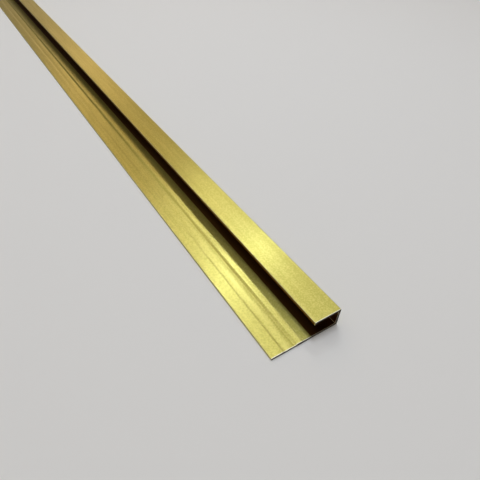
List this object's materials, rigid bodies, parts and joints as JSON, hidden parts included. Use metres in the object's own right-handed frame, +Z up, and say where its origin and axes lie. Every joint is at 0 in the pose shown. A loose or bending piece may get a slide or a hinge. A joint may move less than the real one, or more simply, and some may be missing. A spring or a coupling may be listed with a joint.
{
  "type": "aluminium extrusion profile",
  "caption": "One-piece aluminium edge trim: a flat flange with a sunk band and a low rib, and a raised cap on a side wall over a channel that takes the edge of a wall board.",
  "frame": {"origin": "middle of the flat underside, halfway along the stock and halfway across its width", "axes": "+X across the section from the flange's outer edge towards the cap, +Y along the stock, +Z up, away from the surface it lies on"},
  "size_m": [0.0396, 3, 0.0114],
  "materials": {
    "gold_anodised": "brushed and gold anodised, satin"
  },
  "bodies": {
    "root": {"edge_trim_profile": "gold_anodised"}
  },
  "joints": []
}
